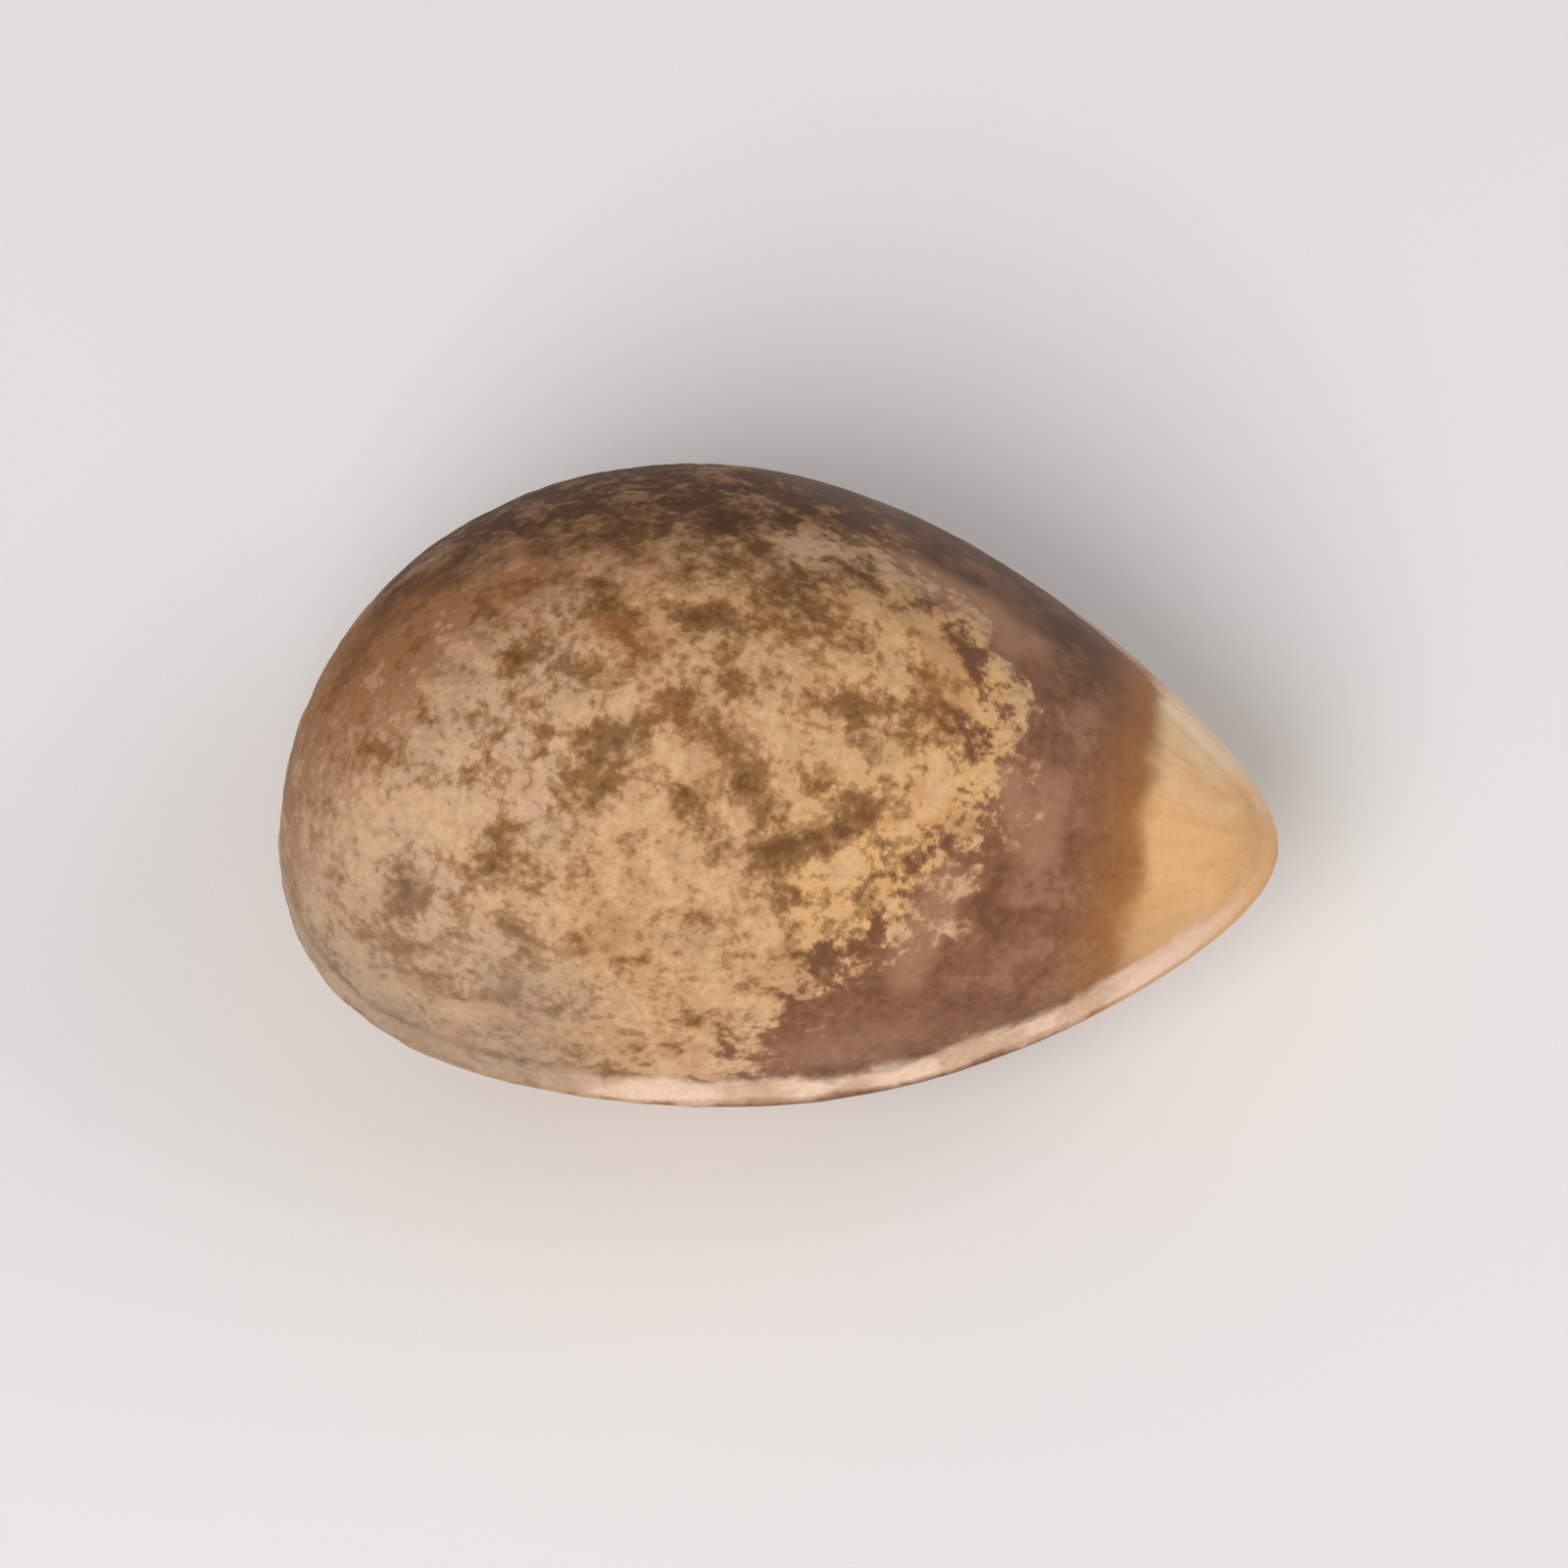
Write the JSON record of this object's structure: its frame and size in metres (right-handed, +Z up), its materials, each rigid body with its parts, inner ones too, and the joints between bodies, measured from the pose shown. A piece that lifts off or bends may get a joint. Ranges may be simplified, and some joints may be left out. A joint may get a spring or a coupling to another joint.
{
  "type": "pinyon nut in shell",
  "caption": "Whole pinyon pine nut in its hard shell, a blunt ovoid drawn to a point at one end, with a thin keel round its sides and a small flat that it rests on.",
  "frame": {"origin": "on the surface the nut rests on, under the middle of its box", "axes": "+X along the nut to its point, +Y across its width, +Z up through its domed upper face"},
  "size_m": [0.0142, 0.0098, 0.0086],
  "materials": {
    "nut_shell": "satin, worn brown skin over a tan shell, with a dark band before a pale point"
  },
  "bodies": {
    "root": {"pinyon_nut": "nut_shell"}
  },
  "joints": []
}
